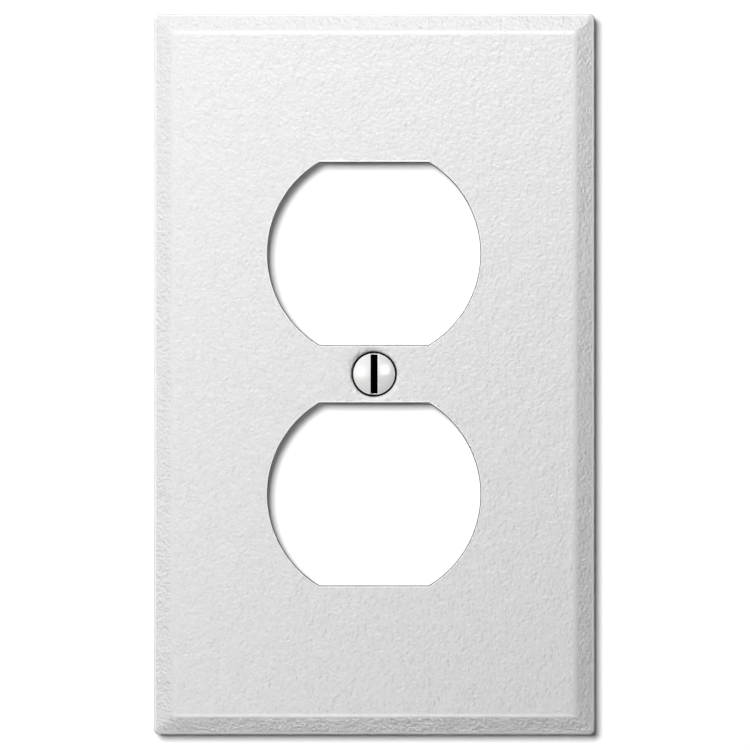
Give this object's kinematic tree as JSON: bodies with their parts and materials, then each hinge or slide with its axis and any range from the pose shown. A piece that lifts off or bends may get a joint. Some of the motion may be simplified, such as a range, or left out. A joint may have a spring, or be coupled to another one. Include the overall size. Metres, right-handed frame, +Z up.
{
  "type": "duplex outlet cover plate",
  "caption": "Flat steel wall plate with a bevelled border, openings for an upper and a lower outlet face, and a slotted oval-head screw between them.",
  "frame": {"origin": "on the screw's axis, in the plane where the plate's rim meets the wall", "axes": "+X across the plate to the right as seen from the room, +Y into the wall along the screw, +Z up"},
  "size_m": [0.0698, 0.0139, 0.1142],
  "materials": {
    "plate_powder_coat": "white powder coat with a fine textured surface, satin",
    "screw_enamel": "smooth gloss white enamel on the head, bright zinc plating on the thread"
  },
  "bodies": {
    "wall_plate": {"wall_plate": "plate_powder_coat"},
    "plate_screw": {"plate_screw": "screw_enamel"}
  },
  "joints": [
    {"name": "screw_travel", "type": "slide", "parent": "wall_plate", "child": "plate_screw", "axis": [0, -1, 0], "range_m": [0, 0.0145]}
  ]
}
